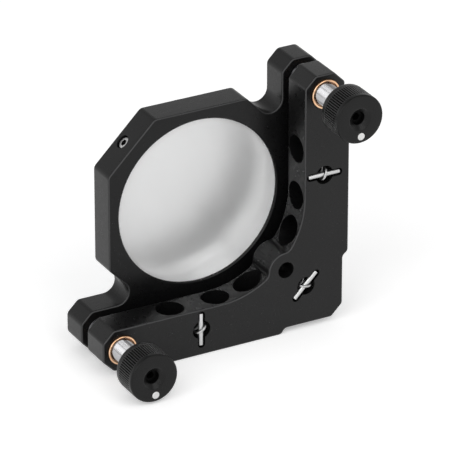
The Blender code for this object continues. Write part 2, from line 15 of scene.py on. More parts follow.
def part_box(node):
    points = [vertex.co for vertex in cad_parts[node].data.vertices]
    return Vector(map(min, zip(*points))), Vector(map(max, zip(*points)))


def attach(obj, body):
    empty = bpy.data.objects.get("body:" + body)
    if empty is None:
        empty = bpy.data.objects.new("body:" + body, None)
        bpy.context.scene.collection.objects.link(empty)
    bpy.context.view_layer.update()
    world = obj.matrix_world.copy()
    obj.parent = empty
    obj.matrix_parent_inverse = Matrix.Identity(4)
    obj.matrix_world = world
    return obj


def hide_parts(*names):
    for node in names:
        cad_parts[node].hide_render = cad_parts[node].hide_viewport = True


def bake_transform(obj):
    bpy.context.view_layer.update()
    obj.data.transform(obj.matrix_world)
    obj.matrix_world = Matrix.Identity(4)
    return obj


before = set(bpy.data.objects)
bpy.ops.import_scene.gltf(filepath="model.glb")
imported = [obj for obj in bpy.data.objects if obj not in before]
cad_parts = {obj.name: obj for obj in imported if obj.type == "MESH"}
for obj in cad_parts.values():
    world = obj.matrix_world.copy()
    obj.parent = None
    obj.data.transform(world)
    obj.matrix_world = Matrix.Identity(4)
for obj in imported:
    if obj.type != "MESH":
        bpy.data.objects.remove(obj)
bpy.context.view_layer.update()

# Camera, fitted to the photograph, round the point where the optic's axis meets the front plate
CAMERA_TURN = math.radians(-28.435)
CAMERA_TILT = math.radians(26.461)
CAMERA_DISTANCE = 1.2555
CAMERA_RIGHT = 0.007116
CAMERA_UP = -0.006386
LENS_MM = 368.4

# Plate outlines
ARM_INNER = 0.026
ARM_OUTER = 0.0383
ARM_END = 0.03625
AXIS_TO_PAD = 0.03995
INNER_END_CHAMFER = 0.0033
OUTER_END_CHAMFER = 0.00335
CORNER_CHAMFER = 0.0034
PAD_HALF = 0.0182
PAD_STEP_RUN = 0.0028
PLATE_ROUNDING = 0.0005
REAR_CORNER_CUT = 0.0005
FRONT_CORNER_CUT = 0.0008
BOSS_OFFSET = 0.02025
BOSS_RADIUS = 0.0053
BOSS_FILLET = 0.0025
RING_HALF = 0.02745
RING_CHAMFER = 0.01428
RING_SHOULDER = 0.01507
NOTCH_RADIUS = 0.0036

# Holes
BORE_RADIUS = 0.0257
BORE_CUT_DEPTH = 0.02
LIP_RADIUS = 0.02435
LIP_THICK = 0.0008
LIP_CHAMFER = 0.0003
LIP_CUT_HEIGHT = 0.01
MOUNT_STATIONS = (0.0134, -0.0006, -0.0107)
MOUNT_HOLE_RADIUS = 0.0023
MOUNT_CUT_OUTER = 0.05  # where the cut ends, from the optic's axis
MOUNT_CUT_INNER = 0.013
COUNTERBORE_RADIUS = 0.004
COUNTERBORE_FLOOR = 0.006
BOSS_HOLE_RADIUS = 0.0024
SPRING_HOLE_RADIUS = 0.0027
SLOT_LENGTH = 0.0111
SLOT_WIDTH = 0.0022
SLOT_DEPTH = 0.0016
SEAT_POCKET_RADIUS = 0.0038
SEAT_POCKET_DEPTH = 0.0037
SET_SCREW_HOLE_RADIUS = 0.002
SET_SCREW_HOLE_LENGTH = 0.008
BUSHING_CLEARANCE = 0.0001
BALL_CLEARANCE = 0.0003
THROUGH = 0.03  # length of a cut through a plate

# Optic
GLASS_BEVEL = 0.0005
GLASS_IOR = 1.46
COATING_RADIUS = 0.0247
COATING_BACK = 0.00001
COATING_FRONT = 0.00003

# Set screw
SET_SCREW_RADIUS = 0.0018
SET_SCREW_EDGE = 0.0003
SET_SCREW_FLATS = 0.0017
SET_SCREW_SOCKET_DEPTH = 0.0015
SET_SCREW_SHADE_RADIUS = 0.0012

# Adjusters
ADJUSTERS = ("pitch", "yaw")
SCREW_RADIUS = 0.003175
SCREW_REAR_EDGE = 0.0004
SCREW_TIP_EDGE = 0.0003
CUP_CLEARANCE = 0.0001
HEX_FLATS = 0.002
HEX_DEPTH = 0.003
THREAD_PITCH = 0.0003175
THREAD_DEPTH = 0.00017
THREAD_STEPS = 48
THREAD_ROWS = 6
THREAD_SHAPE = [abs(1 - 2 * i / THREAD_STEPS) for i in range(THREAD_STEPS)]
THREAD_IN_KNOB = 0.001
THREAD_IN_BUSHING = 0.0035
BUSHING_BORE_RADIUS = 0.00323
BUSHING_COUNTERSINK = (0.0005, 0.0007)
BUSHING_INNER_EDGE = 0.0001
BUSHING_OUTER_EDGE = 0.00045
KNOB_BORE_RADIUS = 0.003375
KNOB_BORE_EDGE = 0.0002
KNOB_WEB = 0.0022
KNOB_HOLE_RADIUS = 0.0019
KNOB_HOLE_EDGE = 0.0001
KNOB_DISH_RADIUS = 0.0033
KNOB_DISH_DEPTH = 0.0011
KNOB_DISH_EDGE = 0.0002
KNOB_EDGE = 0.0006
FLUTES = 66
FLUTE_SHAPE = (0, 0, 0.5, 1, 0.5, 0)
FLUTE_DEPTH = 0.0004
FLUTE_LENGTH = 0.0058
FLUTE_SETBACK = 0.0014
FLUTE_RUNOUT = 0.0001
DOT_RADIUS = 0.00105
DOT_RIGHT = 0.00038
DOT_DOWN = 0.0051
DOT_THICK = 0.00004

# Springs and pins
SPRING_RADIUS = 0.0018
SPRING_TURNS = 8.5
WIRE_RADIUS = 0.00035
HOOK_HEIGHT = 2.4 * SPRING_RADIUS
HOOK_ANGLES = {"side": 68, "bottom": 33, "corner": -7}
PIN_RADIUS = 0.00075
PIN_EDGE = 0.0002
PIN_INSET = 0.0007
PIN_TURNS = {"side": 0, "bottom": 90, "corner": 45}

# Light
ROOM_STRENGTH = 0.5
# How far up a ray points where the walls end and the ceiling starts, with their strengths
WALL_HEIGHT, WALL_STRENGTH = 0.2, 1.0
CEILING_HEIGHT, CEILING_STRENGTH = 0.8, 0.35
PAPER_REACH = 3
PAPER_GLOW = 0.36
# Each lamp's place from the optic's axis, its width and its watts
LAMPS = {
    "key": ((-0.9, -0.55, 0.75), 1.2, 5.5),
    "fill": ((0.15, -0.95, 0.9), 1.0, 4.0),
}

# Fineness
CHORD_ERROR = 0.000008
CORNER_POINTS = 4
EASING_ROUNDS = 2
PAD_STEP_POINTS = 12
SMALL_STEPS = 48
ROUND_STEPS = 64
BUSHING_STEPS = 96
FINE_STEPS = 160
BALL_ROWS = 32
HOOK_STEPS = 12
COIL_STEPS = 24
TINY = 0.000001
FACE_MARGIN = 0.0001
CORNER_TURN = math.radians(20)
BEVEL_ANGLE = math.radians(32)
SHARP_ANGLE = math.radians(38)
WIRE_SHARP_ANGLE = math.radians(60)

mirror_low, mirror_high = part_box("mirror")
rear_low, rear_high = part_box("rear_plate")
front_low, front_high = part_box("front_plate")
AXIS_X = (mirror_low.x + mirror_high.x) / 2
AXIS_Z = (mirror_low.z + mirror_high.z) / 2
REAR_FACE, GAP_REAR = rear_low.y, rear_high.y
GAP_FRONT, FRONT_FACE = front_low.y, front_high.y
GAP_MIDDLE = (GAP_REAR + GAP_FRONT) / 2


def place(x, y, z):
    """World point of a place given from the optic's axis."""
    return Vector((AXIS_X + x, y, AXIS_Z + z))


def centre(node):
    low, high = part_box(node)
    return (low + high) / 2


def half_width(node):
    low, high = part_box(node)
    return (high.x - low.x) / 2


def plane_place(node):
    """A node's place in the plates' plane, from the optic's axis."""
    middle = centre(node)
    return middle.x - AXIS_X, middle.z - AXIS_Z


def facing(direction, point):
    """Turns local +Z to a direction, at a world point."""
    turn = Vector(direction).to_track_quat("Z", "Y").to_matrix().to_4x4()
    return Matrix.Translation(point) @ turn


def looking_back(point):
    """Local X stays, local Y stands up, and local +Z points back, towards the knobs."""
    return Matrix.Translation(point) @ Matrix.Rotation(math.pi / 2, 4, "X")


# Materials


class Finish:
    """A Principled material, with short ways to add the nodes that give it its detail."""

    def __init__(self, name, colour, roughness, metallic=0.0, specular=0.5):
        self.material = bpy.data.materials.new(name)
        self.material.use_nodes = True
        self.tree = self.material.node_tree
        self.shader = self.tree.nodes["Principled BSDF"]
        self.on_shader("Base Color", (*colour, 1))
        self.on_shader("Roughness", roughness)
        self.on_shader("Metallic", metallic)
        self.on_shader("Specular IOR Level", specular)
        self.bump = None

    def put(self, node, socket, value):
        """A constant goes on the socket itself, and another node's output is linked to it."""
        if isinstance(value, bpy.types.NodeSocket):
            self.tree.links.new(value, node.inputs[socket])
        else:
            node.inputs[socket].default_value = value

    def on_shader(self, socket, value):
        self.put(self.shader, socket, value)

    def node(self, kind, **sockets):
        item = self.tree.nodes.new(kind)
        for socket, value in sockets.items():
            self.put(item, socket.replace("_", " "), value)
        return item

    def place_of(self, stretch=(1, 1, 1)):
        where = self.node("ShaderNodeTexCoord").outputs["Object"]
        if stretch == (1, 1, 1):
            return where
        return self.node("ShaderNodeMapping", Vector=where, Scale=stretch).outputs["Vector"]

    def noise(self, per_metre, detail, stretch=(1, 1, 1)):
        item = self.node(
            "ShaderNodeTexNoise", Vector=self.place_of(stretch), Scale=per_metre, Detail=detail
        )
        return item.outputs["Fac"]

    def rings(self, per_metre):
        """Rings round local Z, as a lathe tool leaves."""
        item = self.node(
            "ShaderNodeTexWave",
            Vector=self.place_of(), Scale=per_metre, Distortion=1.5, Detail=2.0,
        )
        item.wave_type = "RINGS"
        item.rings_direction = "Z"
        return item.outputs["Fac"]

    def between(self, factor, low, high, low_at=0.3, high_at=0.7):
        """Spreads a 0 to 1 pattern over a range of values."""
        item = self.node(
            "ShaderNodeMapRange",
            Value=factor, From_Min=low_at, From_Max=high_at, To_Min=low, To_Max=high,
        )
        return item.outputs["Result"]

    def maths(self, operation, first, second):
        item = self.tree.nodes.new("ShaderNodeMath")
        item.operation = operation
        self.put(item, 0, first)
        self.put(item, 1, second)
        return item.outputs[0]

    def vector_value(self, operation, *vectors):
        item = self.tree.nodes.new("ShaderNodeVectorMath")
        item.operation = operation
        for i, vector in enumerate(vectors):
            self.tree.links.new(vector, item.inputs[i])
        return item.outputs["Value"]

    def blend(self, factor, first, second):
        item = self.tree.nodes.new("ShaderNodeMix")
        item.data_type = "RGBA"
        self.put(item, "Factor", factor)
        for socket, value in ((item.inputs[6], first), (item.inputs[7], second)):
            if isinstance(value, bpy.types.NodeSocket):
                self.tree.links.new(value, socket)
            else:
                socket.default_value = (*value, 1)
        return item.outputs[2]

    def edges(self, radius):
        """1 along edges and 0 on open faces, from how far a rounded normal leans away."""
        soft = self.node("ShaderNodeBevel", Radius=radius)
        soft.samples = 6
        plain = self.node("ShaderNodeNewGeometry").outputs["Normal"]
        lean = self.vector_value("DOT_PRODUCT", soft.outputs["Normal"], plain)
        return self.between(lean, 1, 0, 0.86, 0.99)

    def rounding(self):
        """1 on the rounding between a plate's faces and its sides, and 0 on both of those."""
        normal = self.node("ShaderNodeTexCoord").outputs["Normal"]
        across = self.node("ShaderNodeSeparateXYZ", Vector=normal).outputs["Y"]
        squared = self.maths("MULTIPLY", across, across)
        rest = self.maths("SUBTRACT", 1.0, squared)
        return self.between(self.maths("MULTIPLY", squared, rest), 0, 1, 0.04, 0.2)

    def raise_by(self, height, distance, strength):
        """Adds a bump on top of those that are there."""
        item = self.node("ShaderNodeBump", Height=height, Distance=distance, Strength=strength)
        if self.bump:
            self.tree.links.new(self.bump, item.inputs["Normal"])
        self.bump = item.outputs["Normal"]
        self.on_shader("Normal", self.bump)


def make_anodised(name, specular, edge_highlight):
    """Black anodised aluminium: fine blasted grain and faint mottling, with a painted highlight on
    the edges' rounding.
    """
    finish = Finish(name, (0.005, 0.005, 0.005), 0.3, specular=specular)
    mottle = finish.between(finish.noise(55, 4), 0, 1)
    tone = finish.blend(mottle, (0.0035, 0.0035, 0.0037), (0.006, 0.006, 0.0062))
    if edge_highlight:
        # The paler tone on the rounding is a painted highlight along the edges.
        tone = finish.blend(finish.rounding(), tone, (0.05, 0.05, 0.051))
    finish.on_shader("Base Color", tone)
    finish.on_shader("Roughness", finish.between(finish.noise(900, 3), 0.26, 0.35))
    finish.raise_by(finish.noise(5200, 2), 0.000007, 0.3)
    return finish.material


def make_knob_black():
    """Black turned aluminium, paler along its edges and the flutes' ridges as a painted highlight.
    """
    finish = Finish("knob_black", (0.004, 0.004, 0.004), 0.32, specular=0.24)
    turned = finish.rings(2600)
    finish.on_shader("Roughness", finish.between(turned, 0.26, 0.36, 0, 1))
    # The pale edge tone is a painted highlight on the knob's edges and flute ridges.
    tone = finish.blend(finish.edges(0.0002), (0.003, 0.003, 0.003), (0.1, 0.1, 0.1))
    finish.on_shader("Base Color", tone)
    finish.raise_by(turned, 0.000004, 0.4)
    finish.raise_by(finish.noise(5000, 2), 0.000006, 0.3)
    return finish.material


def make_painted_shade_black():
    """Painted shade, matt and dark, for the bottoms of the flutes and the screws' rear ends and
    sockets.
    """
    finish = Finish("painted_shade_black", (0.002, 0.002, 0.002), 0.6, specular=0.1)
    finish.on_shader("Roughness", finish.between(finish.noise(3000, 2), 0.5, 0.7))
    return finish.material


def make_steel(name, colour, roughness, stretch, dimmest=0.92):
    """Drawn or ground steel. A stretch along local Z draws its grain out into lines."""
    finish = Finish(name, colour, roughness, 1.0)
    drawn = finish.noise(1800, 3, stretch)
    finish.on_shader("Roughness", finish.between(drawn, roughness * 0.85, roughness * 1.2))
    low = tuple(value * dimmest for value in colour)
    finish.on_shader("Base Color", finish.blend(finish.between(drawn, 0, 1), low, colour))
    finish.raise_by(drawn, 0.000001, 0.2)
    return finish.material


def make_bronze():
    """Turned bronze with slight stains."""
    finish = Finish("bronze", (0.86, 0.53, 0.32), 0.16, 1.0)
    turned = finish.rings(3000)
    stain = finish.noise(700, 4)
    tone = finish.blend(finish.between(stain, 0, 1), (0.76, 0.42, 0.23), (0.9, 0.6, 0.39))
    finish.on_shader("Base Color", tone)
    finish.on_shader("Roughness", finish.between(turned, 0.13, 0.2, 0, 1))
    finish.raise_by(turned, 0.000001, 0.2)
    return finish.material


def make_satin_glass():
    """The optic's fine-ground back: light passes and is spread, less so towards the rim, which
    looks
    whiter: that whiter ring is painted light."""
    finish = Finish("satin_glass", (0.97, 0.97, 0.97), 0.4)
    way = finish.node("ShaderNodeSeparateXYZ", Vector=finish.place_of())
    flat = finish.node("ShaderNodeCombineXYZ", X=way.outputs["X"], Y=way.outputs["Y"])
    reach = finish.vector_value("LENGTH", flat.outputs["Vector"])
    # Less clear towards the rim, so that it looks whiter: painted light.
    clear = finish.between(reach, 0.66, 0.53, 0.0115, 0.023)
    finish.on_shader("Transmission Weight", clear)
    finish.on_shader("IOR", GLASS_IOR)
    finish.on_shader("Roughness", finish.between(finish.noise(400, 4), 0.4, 0.46))
    finish.raise_by(finish.noise(9000, 2), 0.000001, 0.2)
    return finish.material


def make_coating(name, colour):
    """The optic's metal coating."""
    finish = Finish(name, colour, 0.04, 1.0)
    finish.on_shader("Roughness", finish.between(finish.noise(120, 3), 0.03, 0.06))
    return finish.material


def make_ground_rim():
    """The optic's ground rim, which lets nearly all light through."""
    finish = Finish("ground_rim", (0.98, 0.98, 0.98), 0.25)
    finish.on_shader("Transmission Weight", 0.96)
    finish.on_shader("IOR", GLASS_IOR)
    finish.raise_by(finish.noise(6000, 3), 0.000001, 0.2)
    finish.on_shader("Roughness", finish.between(finish.noise(800, 3), 0.22, 0.28))
    return finish.material


def make_plain(name, low, high):
    """A painted or moulded surface with slight mottling and texture."""
    finish = Finish(name, high, 0.45)
    pattern = finish.noise(1500, 3)
    finish.on_shader("Base Color", finish.blend(finish.between(pattern, 0, 1), low, high))
    finish.raise_by(pattern, 0.000006, 0.5)
    return finish.material


# Shapes


def arc(middle, radius, start, end):
    """Points of an arc, close enough together to look round."""
    step = 2 * math.acos(1 - CHORD_ERROR / radius)
    count = max(2, math.ceil(abs(end - start) / step))
    turns = [start + (end - start) * i / count for i in range(count + 1)]
    return [(middle[0] + radius * math.cos(t), middle[1] + radius * math.sin(t)) for t in turns]


def with_twin_half(half):
    """Closes a half outline with its mirror image in the diagonal."""
    kept = []
    for point in half + [(-z, -x) for x, z in reversed(half)]:
        if not kept or math.dist(point, kept[-1]) > TINY:
            kept.append(point)
    if math.dist(kept[0], kept[-1]) < TINY:
        kept.pop()
    return kept


def pad_step(from_x, to_x, from_z, to_z):
    """An S-shaped step between two parallel faces."""
    rise, run = to_x - from_x, to_z - from_z
    radius = (rise**2 + run**2) / (4 * abs(rise))
    sweep = 2 * math.atan2(abs(rise), abs(run))
    turns = [sweep * i / PAD_STEP_POINTS for i in range(PAD_STEP_POINTS + 1)]
    first = [
        (from_x + math.copysign(radius, rise) * (1 - math.cos(turn)),
         from_z + math.copysign(radius, run) * math.sin(turn))
        for turn in turns
    ]
    return first + [(from_x + to_x - x, from_z + to_z - z) for x, z in reversed(first)][1:]


def arm_end():
    """The chamfered end of an arm or ear, from its inner side to its outer side."""
    return [
        (ARM_INNER, ARM_END - INNER_END_CHAMFER),
        (ARM_INNER + INNER_END_CHAMFER, ARM_END),
        (ARM_OUTER - OUTER_END_CHAMFER, ARM_END),
        (ARM_OUTER, ARM_END - OUTER_END_CHAMFER),
    ]


def rear_outline():
    """The L, with a boss in its crook that fillets join to the round inner edge."""
    boss = Vector((BOSS_OFFSET, -BOSS_OFFSET))
    near, far = ARM_INNER - BOSS_FILLET, BOSS_RADIUS + BOSS_FILLET
    along = (near**2 - far**2 + boss.length_squared) / (2 * boss.length)
    across = math.sqrt(near**2 - along**2)
    fillet = Vector((along + across, across - along)) / math.sqrt(2)
    boss_end = math.atan2(fillet.y - boss.y, fillet.x - boss.x)
    fillet_turn = math.atan2(fillet.y, fillet.x)
    half = arc(boss, BOSS_RADIUS, math.radians(135), boss_end)
    half += arc(fillet, BOSS_FILLET, boss_end - math.pi, fillet_turn)[1:]
    half += arc((0, 0), ARM_INNER, fillet_turn, 0)[1:]
    half += arm_end()
    half += pad_step(ARM_OUTER, AXIS_TO_PAD, PAD_HALF + PAD_STEP_RUN, PAD_HALF)
    half += pad_step(AXIS_TO_PAD, ARM_OUTER, -PAD_HALF, -PAD_HALF - PAD_STEP_RUN)
    return with_twin_half(half + [(ARM_OUTER, CORNER_CHAMFER - ARM_OUTER)])


def front_outline():
    """The ring's eight sides, the ears, and the notches between them."""
    notch_x = ARM_INNER - NOTCH_RADIUS
    notch = (notch_x, RING_SHOULDER + RING_HALF + math.sqrt(2) * NOTCH_RADIUS - notch_x)
    half = [(RING_CHAMFER - RING_HALF, RING_HALF), (RING_SHOULDER, RING_HALF)]
    half += arc(notch, NOTCH_RADIUS, math.radians(225), math.radians(360))
    return with_twin_half(half + arm_end() + [(ARM_OUTER, CORNER_CHAMFER - ARM_OUTER)])


def slot_outline(x, z, turn):
    """A slot with round ends, at a place and turned in the plates' plane."""
    reach, radius = (SLOT_LENGTH - SLOT_WIDTH) / 2, SLOT_WIDTH / 2
    ends = arc((reach, 0), radius, -math.pi / 2, math.pi / 2)
    ends += arc((-reach, 0), radius, math.pi / 2, 3 * math.pi / 2)
    cosine, sine = math.cos(turn), math.sin(turn)
    return [(x + a * cosine - b * sine, z + a * sine + b * cosine) for a, b in ends]


def new_object(name, body, material=None, matrix=None):
    """Makes an object of a bmesh, and frees that."""
    bmesh.ops.recalc_face_normals(body, faces=body.faces)
    mesh = bpy.data.meshes.new(name)
    body.to_mesh(mesh)
    body.free()
    item = bpy.data.objects.new(name, mesh)
    item.matrix_world = matrix or Matrix.Identity(4)
    bpy.context.scene.collection.objects.link(item)
    if material:
        mesh.materials.append(material)
    return item


def prism(name, outline, back, front):
    """A solid between two Y planes, from an outline round the optic's axis."""
    body = bmesh.new()
    rings = [[body.verts.new(place(x, y, z)) for x, z in outline] for y in (back, front)]
    for ring in rings:
        body.faces.new(ring)
    for i, j in zip(range(len(outline)), [*range(1, len(outline)), 0]):
        body.faces.new((rings[0][i], rings[0][j], rings[1][j], rings[1][i]))
    return new_object(name, body)


def soften(corners):
    """Rounds each corner of a closed (x, y, cut) profile that has a cut, with a short curve."""
    points = []
    for i, (x, y, cut) in enumerate(corners):
        here = Vector((x, y))
        if not cut:
            points.append((x, y))
            continue
        before = Vector(corners[i - 1][:2]) - here
        after = Vector(corners[(i + 1) % len(corners)][:2]) - here
        start, end = here + before.normalized() * cut, here + after.normalized() * cut
        for k in range(CORNER_POINTS + 1):
            t = k / CORNER_POINTS
            points.append(tuple(start.lerp(here, t).lerp(here.lerp(end, t), t)))
    return points


def with_round_corners(outline, cut):
    """Rounds an outline's corners, and leaves its arcs and the corners next to them."""
    corners = []
    for i, point in enumerate(outline):
        before = Vector(point) - Vector(outline[i - 1])
        after = Vector(outline[(i + 1) % len(outline)]) - Vector(point)
        room = min(before.length, after.length)
        corner = before.angle(after) > CORNER_TURN and room > 2 * cut
        corners.append((*point, cut if corner else 0))
    return soften(corners)


def lathe(name, rows, steps, matrix, material=None, ripple=(0,)):
    """A closed solid turned round local Z, from rows of (radius, height). A row of (radius,
    height, depth, shift) is rippled by that depth, and starts the ripple that many steps on."""
    body = bmesh.new()
    rings = []
    for radius, height, *wave in rows:
        if radius < TINY:
            rings.append([body.verts.new((0, 0, height))])
            continue
        ring = []
        for i in range(steps):
            turn = 2 * math.pi * i / steps
            reach = radius - (wave[0] * ripple[(i + wave[1]) % len(ripple)] if wave else 0)
            ring.append(body.verts.new((reach * math.cos(turn), reach * math.sin(turn), height)))
        rings.append(ring)
    pairs = list(zip(rings, rings[1:]))
    if len(rings[0]) > 1:
        pairs.append((rings[-1], rings[0]))
    for upper, lower in pairs:
        for i in range(steps):
            j = (i + 1) % steps
            corners = [upper[i % len(upper)], lower[i % len(lower)]]
            corners += [lower[j % len(lower)], upper[j % len(upper)]]
            body.faces.new(dict.fromkeys(corners))
    item = new_object(name, body, material, matrix)
    shade(item)
    return item


def shade(item, angle=SHARP_ANGLE):
    item.data.shade_smooth()
    item.data.set_sharp_from_angle(angle=angle)


def bar(radius, length, matrix, steps=ROUND_STEPS):
    """A plain cutter, centred, along local Z."""
    half = length / 2
    return lathe("cutter", [(0, half), (radius, half), (radius, -half), (0, -half)], steps, matrix)


def carve(item, cutters, *materials, rounding=0.0):
    """Rounds a solid's edges, then cuts it, and keeps the result as a plain mesh. The rounding
    takes the last material."""
    for material in materials:
        item.data.materials.append(material)
    if rounding:
        bevel = item.modifiers.new("rounding", "BEVEL")
        bevel.width = rounding
        bevel.segments = 3
        bevel.material = len(materials) - 1
        bevel.limit_method = "ANGLE"
        bevel.angle_limit = BEVEL_ANGLE
        bevel.use_clamp_overlap = False
    for cutter in cutters:
        step = item.modifiers.new("cut", "BOOLEAN")
        step.operation = "DIFFERENCE"
        step.solver = "EXACT"
        step.object = cutter
    graph = bpy.context.evaluated_depsgraph_get()
    mesh = bpy.data.meshes.new_from_object(item.evaluated_get(graph))
    chosen = [face.material_index for face in mesh.polygons]
    item.modifiers.clear()
    item.data = mesh
    mesh.materials.clear()
    for material in materials:
        mesh.materials.append(material)
    mesh.polygons.foreach_set("material_index", chosen)
    for cutter in cutters:
        bpy.data.objects.remove(cutter, do_unlink=True)
    shade(item)
    even = item.modifiers.new("even_faces", "WEIGHTED_NORMAL")
    even.keep_sharp = True


def recolour(item, material, chosen):
    """Gives another material to the faces that pass a test."""
    item.data.materials.append(material)
    for face in item.data.polygons:
        if chosen(face):
            face.material_index = len(item.data.materials) - 1


def finish_piece(item, body, slot, *nodes):
    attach(item, body)
    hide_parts(*nodes)


def make_ball(name, node, body, steel):
    """A ball in the place and size of its CAD node."""
    radius = half_width(node)
    turns = [math.pi * i / BALL_ROWS for i in range(BALL_ROWS + 1)]
    rows = [(radius * math.sin(turn), radius * math.cos(turn)) for turn in turns]
    ball = lathe(name, rows, ROUND_STEPS, looking_back(centre(node)), steel)
    finish_piece(ball, body, "hardened_steel", node)


# Plates


def spring_seats(face):
    """A through hole and a slot for the pin at each spring, cut into a plate's outer face."""
    cutters = []
    for name, turn in PIN_TURNS.items():
        x, z = plane_place(name + "_rear_pin")
        cutters.append(bar(SPRING_HOLE_RADIUS, THROUGH, looking_back(place(x, face, z))))
        outline = slot_outline(x, z, math.radians(turn))
        cutters.append(prism("cutter", outline, face - SLOT_DEPTH, face + SLOT_DEPTH))
    return cutters


def mount_hole(x, z, outward):
    """Cuts a hole from the pad, and a counterbore on the arm's inner side."""
    floor = AXIS_TO_PAD - COUNTERBORE_FLOOR
    rows = [
        (0, MOUNT_CUT_OUTER), (MOUNT_HOLE_RADIUS, MOUNT_CUT_OUTER), (MOUNT_HOLE_RADIUS, floor),
        (COUNTERBORE_RADIUS, floor), (COUNTERBORE_RADIUS, MOUNT_CUT_INNER), (0, MOUNT_CUT_INNER),
    ]
    return lathe("cutter", rows, ROUND_STEPS, facing(outward, place(x, 0, z)))


def make_rear_plate(anodised, edge_highlight):
    outline = with_round_corners(rear_outline(), REAR_CORNER_CUT)
    plate = prism("rear_plate_body", outline, REAR_FACE, GAP_REAR)
    cutters = spring_seats(REAR_FACE)
    for station in MOUNT_STATIONS:
        cutters.append(mount_hole(0, station, (1, 0, 0)))
        cutters.append(mount_hole(-station, 0, (0, 0, -1)))
    for name in ADJUSTERS:
        x, z = plane_place(name + "_screw")
        bore = half_width(name + "_bushing") + BUSHING_CLEARANCE
        cutters.append(bar(bore, THROUGH, looking_back(place(x, 0, z))))
    boss = place(BOSS_OFFSET, 0, -BOSS_OFFSET)
    cutters.append(bar(BOSS_HOLE_RADIUS, THROUGH, looking_back(boss)))
    reach = math.sqrt(2) * (half_width("pivot_ball") + BALL_CLEARANCE)
    cone = [(0, reach), (2 * reach, -reach), (0, -reach)]
    cutters.append(lathe("cutter", cone, ROUND_STEPS, looking_back(centre("pivot_ball"))))
    carve(plate, cutters, anodised, edge_highlight, rounding=PLATE_ROUNDING)
    finish_piece(plate, "base", "black_anodised", "rear_plate")


def make_front_plate(anodised, edge_highlight):
    outline = with_round_corners(front_outline(), FRONT_CORNER_CUT)
    plate = prism("front_plate_body", outline, GAP_FRONT, FRONT_FACE)
    cutters = spring_seats(FRONT_FACE)
    rows = [
        (0, LIP_CUT_HEIGHT), (LIP_RADIUS + LIP_CHAMFER + LIP_CUT_HEIGHT, LIP_CUT_HEIGHT),
        (LIP_RADIUS, -LIP_CHAMFER), (LIP_RADIUS, -LIP_THICK), (BORE_RADIUS, -LIP_THICK),
        (BORE_RADIUS, -BORE_CUT_DEPTH), (0, -BORE_CUT_DEPTH),
    ]
    cutters.append(lathe("cutter", rows, FINE_STEPS, looking_back(place(0, GAP_FRONT, 0))))
    for node in ("cone_seat", "vee_seat", "flat_seat"):
        spot = centre(node)
        spot.y = GAP_FRONT
        cutters.append(bar(SEAT_POCKET_RADIUS, 2 * SEAT_POCKET_DEPTH, looking_back(spot)))
    corner = facing((-1, 0, 1), centre("optic_setscrew"))
    cutters.append(bar(SET_SCREW_HOLE_RADIUS, SET_SCREW_HOLE_LENGTH, corner))
    carve(plate, cutters, anodised, edge_highlight, rounding=PLATE_ROUNDING)
    finish_piece(plate, "stage", "black_anodised", "front_plate")


# Optic


def make_mirror(back, rim, coating, front):
    """A clear disc, seen through its satin back to the coating on its front. What is seen of the
    coating from the front lies clear of the glass by a hair."""
    radius, thick = half_width("mirror"), mirror_high.y - mirror_low.y
    flat = radius - GLASS_BEVEL
    rows = [
        (0, 0), (flat, 0), (radius, -GLASS_BEVEL), (radius, GLASS_BEVEL - thick),
        (flat, -thick), (0, -thick),
    ]
    spot = looking_back(place(0, mirror_low.y, 0))
    item = lathe("mirror_disc", rows, FINE_STEPS, spot, back)
    recolour(item, rim, lambda face: abs(face.normal.z) < 0.9)
    recolour(item, coating, lambda face: face.normal.z < -0.9)
    finish_piece(item, "optic", "mirror_optic", "mirror")

    rows = [
        (0, COATING_FRONT), (COATING_RADIUS, COATING_FRONT), (COATING_RADIUS, COATING_BACK),
        (0, COATING_BACK),
    ]
    spot = facing((0, 1, 0), place(0, mirror_high.y, 0))
    film = lathe("mirror_film", rows, FINE_STEPS, spot, front)
    finish_piece(film, "optic", "mirror_optic", "mirror")


def make_set_screw(steel, black):
    """A socket screw in the corner chamfer, lying just under its face."""
    low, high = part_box("optic_setscrew")
    radius, edge = SET_SCREW_RADIUS, SET_SCREW_EDGE
    half = ((high.x - low.x) * math.sqrt(2) - 2 * radius) / 2
    rows = soften([(0, half, 0), (radius, half, edge), (radius, -half, edge), (0, -half, 0)])
    matrix = facing((-1, 0, 1), centre("optic_setscrew"))
    item = lathe("optic_setscrew_body", rows, ROUND_STEPS, matrix)
    top = facing((-1, 0, 1), matrix @ Vector((0, 0, half)))
    socket = bar(SET_SCREW_FLATS / math.sqrt(3), 2 * SET_SCREW_SOCKET_DEPTH, top, 6)
    carve(item, [socket], steel)

    def in_shaded_socket(face):
        spot = face.center
        return spot.z < half - FACE_MARGIN and spot.xy.length < SET_SCREW_SHADE_RADIUS

    # The socket is painted knob black, as painted shade in the recess.
    recolour(item, black, in_shaded_socket)
    finish_piece(item, "lock_screw", "stainless_steel", "optic_setscrew")


# Adjusters


def thread_rows(top, bottom):
    """Rows of a one-start thread, each turned a little further than the one above."""
    count = math.floor((top - bottom) / THREAD_PITCH * THREAD_ROWS)
    rows = [(SCREW_RADIUS, top)]
    for i in range(1, count):
        height = top - i * THREAD_PITCH / THREAD_ROWS
        rows.append((SCREW_RADIUS, height, THREAD_DEPTH, i * THREAD_STEPS // THREAD_ROWS))
    return rows + [(SCREW_RADIUS, top - count * THREAD_PITCH / THREAD_ROWS)]


def make_bushing(name, axis, bronze):
    """A ring with a countersink at the knob's side."""
    low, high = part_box(name + "_bushing")
    radius, back, front = (high.x - low.x) / 2, -low.y, -high.y
    bore, (wide, deep) = BUSHING_BORE_RADIUS, BUSHING_COUNTERSINK
    corners = [
        (bore, back - deep, 0), (bore + wide, back, BUSHING_INNER_EDGE),
        (radius, back, BUSHING_OUTER_EDGE), (radius, front, 0), (bore, front, 0),
    ]
    ring = lathe(name + "_bushing_ring", soften(corners), BUSHING_STEPS, axis, bronze)
    finish_piece(ring, "base", "bronze", name + "_bushing")


